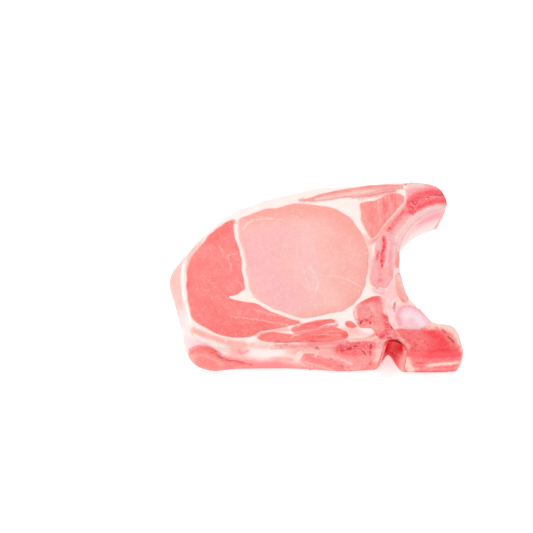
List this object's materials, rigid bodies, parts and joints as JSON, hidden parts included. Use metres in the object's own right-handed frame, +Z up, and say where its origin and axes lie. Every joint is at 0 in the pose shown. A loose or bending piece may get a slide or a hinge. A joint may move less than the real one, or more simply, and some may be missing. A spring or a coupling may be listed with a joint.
{
  "type": "raw pork chop",
  "caption": "Raw bone-in pork rib chop: a flat slice of loin with its curved rib, sawn backbone, pink muscles and white fat rim.",
  "frame": {"origin": "middle of the underside, on the surface that the chop lies on", "axes": "+Z up through the slice's thickness; +X along the sawn midline wall from the back fat to the rib cage; +Y away from that wall"},
  "size_m": [0.1742, 0.1278, 0.022],
  "materials": {
    "fat": "moist white pork fat with a pink cast",
    "pale_muscle": "moist pale pink loin muscle, fine grain and thin white marbling",
    "dark_muscle": "moist deeper pink muscle with coarse fibres",
    "bone": "sawn bone, pink with red marrow pores and a pale rim",
    "marrow": "sawn spongy bone full of red marrow",
    "cartilage": "smooth pearly cartilage",
    "canal_lining": "wet dark red lining of the spinal canal"
  },
  "bodies": {
    "root": {"fat": "fat", "pleura": "fat", "wall_tendon": "fat", "loin_eye": "pale_muscle", "rib_side_muscle": "pale_muscle", "cap_muscle": "dark_muscle", "multifidus_upper": "dark_muscle", "multifidus_lower": "dark_muscle", "rotator_muscle": "dark_muscle", "back_strip_muscle": "dark_muscle", "edge_muscle": "dark_muscle", "wall_muscle": "dark_muscle", "intercostal_upper": "dark_muscle", "intercostal_lower": "dark_muscle", "rib_bone": "bone", "vertebral_arch": "bone", "vertebral_body": "marrow", "spinal_disc": "cartilage", "rib_cartilage": "cartilage", "canal_tissue": "canal_lining"}
  },
  "joints": []
}
